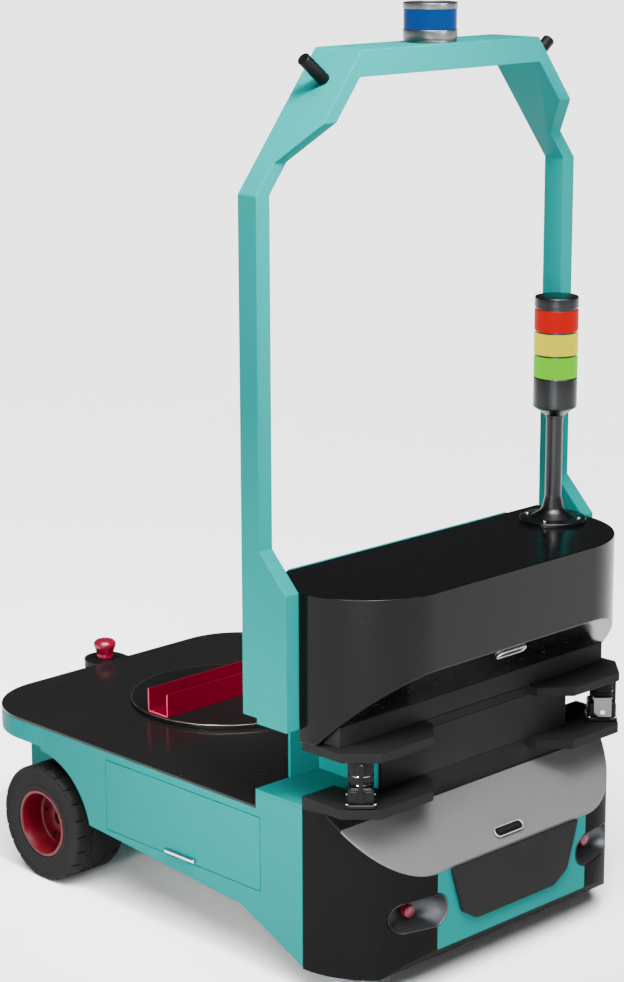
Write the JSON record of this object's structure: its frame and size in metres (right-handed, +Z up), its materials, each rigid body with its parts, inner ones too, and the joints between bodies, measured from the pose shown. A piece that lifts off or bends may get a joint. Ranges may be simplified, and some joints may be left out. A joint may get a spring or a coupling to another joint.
{
  "type": "tow robot",
  "caption": "Low tow robot with a round-cornered deck, turntable, hitch pin, hinged side doors and nose hatch, scanner slots, head box with lamp stack, and a tall sensor gantry.",
  "frame": {"origin": "on the floor below the middle of the whole length, hitch tab to front plate", "axes": "+X forward, +Y left, +Z up"},
  "size_m": [1.261, 0.856, 1.8],
  "materials": {
    "teal_paint": "satin",
    "black_gloss": "gloss",
    "dark_paint": "satin",
    "grey_paint": "satin",
    "black_steel": "matt",
    "scoop_metal": "brushed",
    "red_plastic": "gloss",
    "red_paint": "satin",
    "rim_paint": "satin",
    "tyre_rubber": "matt",
    "chrome": "polished",
    "scanner_plastic": "matt",
    "silver": "satin",
    "lidar_blue": "gloss",
    "lamp_grey": "satin",
    "lamp_red": "gloss",
    "lamp_amber": "gloss",
    "lamp_green": "gloss",
    "battery_case": "matt",
    "castor_steel": "brushed",
    "castor_tread": "matt"
  },
  "bodies": {
    "chassis": {"deck_plate": "black_gloss", "deck_frame": "teal_paint", "side_panels": "teal_paint", "chassis_tub": "teal_paint", "belly_pan": "black_steel", "battery": "battery_case", "nose_shell": "black_gloss", "nose_front": "teal_paint", "bumper_plate": "dark_paint", "nose_top": "teal_paint", "button_scoops": "scoop_metal", "stop_buttons": "red_plastic", "console": "dark_paint", "console_top": "dark_paint", "scanner_plate_low": "dark_paint", "scanner_plate_high": "dark_paint", "scanners": "scanner_plastic", "head_box": "black_gloss", "head_handle": "chrome", "neck_plate": "teal_paint", "gantry": "teal_paint", "gantry_rods": "scanner_plastic", "lidar_base": "silver", "lidar_window": "lidar_blue", "lidar_cap": "silver", "lamp_post": "lamp_grey", "lamp_housing": "lamp_grey", "lamp_red": "lamp_red", "lamp_amber": "lamp_amber", "lamp_green": "lamp_green", "hitch_tab": "grey_paint", "drive_units": "castor_steel", "castor_plates": "castor_steel"},
    "turntable": {"turntable": "black_steel", "channel": "red_paint"},
    "hitch_pin": {"hitch_pin": "red_plastic"},
    "door_left": {"door_left": "teal_paint", "door_handle_left": "chrome"},
    "door_right": {"door_right": "teal_paint", "door_handle_right": "chrome"},
    "hatch": {"hatch": "grey_paint", "hatch_handle": "chrome"},
    "wheel_left": {"tyre_left": "tyre_rubber", "rim_left": "rim_paint"},
    "wheel_right": {"tyre_right": "tyre_rubber", "rim_right": "rim_paint"},
    "castor_left": {"castor_fork_left": "castor_steel"},
    "castor_right": {"castor_fork_right": "castor_steel"},
    "castor_roller_left": {"castor_wheel_left": "castor_tread"},
    "castor_roller_right": {"castor_wheel_right": "castor_tread"}
  },
  "joints": [
    {"name": "drive_wheel_left", "type": "hinge", "parent": "chassis", "child": "wheel_left", "pos_m": [-0.326, 0.324, 0.1216], "axis": [0, 1, 0], "continuous": true},
    {"name": "drive_wheel_right", "type": "hinge", "parent": "chassis", "child": "wheel_right", "pos_m": [-0.326, -0.324, 0.1216], "axis": [0, 1, 0], "continuous": true},
    {"name": "castor_swivel_left", "type": "hinge", "parent": "chassis", "child": "castor_left", "pos_m": [0.326, 0.165, 0.121], "axis": [0, 0, 1], "continuous": true},
    {"name": "castor_swivel_right", "type": "hinge", "parent": "chassis", "child": "castor_right", "pos_m": [0.326, -0.165, 0.121], "axis": [0, 0, 1], "continuous": true},
    {"name": "castor_roll_left", "type": "hinge", "parent": "castor_left", "child": "castor_roller_left", "pos_m": [0.292, 0.165, 0.05], "axis": [0, 1, 0], "continuous": true},
    {"name": "castor_roll_right", "type": "hinge", "parent": "castor_right", "child": "castor_roller_right", "pos_m": [0.292, -0.165, 0.05], "axis": [0, 1, 0], "continuous": true},
    {"name": "turntable_turn", "type": "hinge", "parent": "chassis", "child": "turntable", "pos_m": [-0.182, 0, 0.34], "axis": [0, 0, 1], "continuous": true},
    {"name": "hitch_pin_lift", "type": "slide", "parent": "chassis", "child": "hitch_pin", "axis": [0, 0, 1], "range_m": [0, 0.06]},
    {"name": "door_left_hinge", "type": "hinge", "parent": "chassis", "child": "door_left", "pos_m": [0.1, 0.389, 0.312], "axis": [1, 0, 0], "range_deg": [0, 85]},
    {"name": "door_right_hinge", "type": "hinge", "parent": "chassis", "child": "door_right", "pos_m": [0.1, -0.389, 0.312], "axis": [-1, 0, 0], "range_deg": [0, 85]},
    {"name": "hatch_hinge", "type": "hinge", "parent": "chassis", "child": "hatch", "pos_m": [0.5255, 0, 0.3365], "axis": [0, -1, 0], "range_deg": [0, 50]}
  ]
}
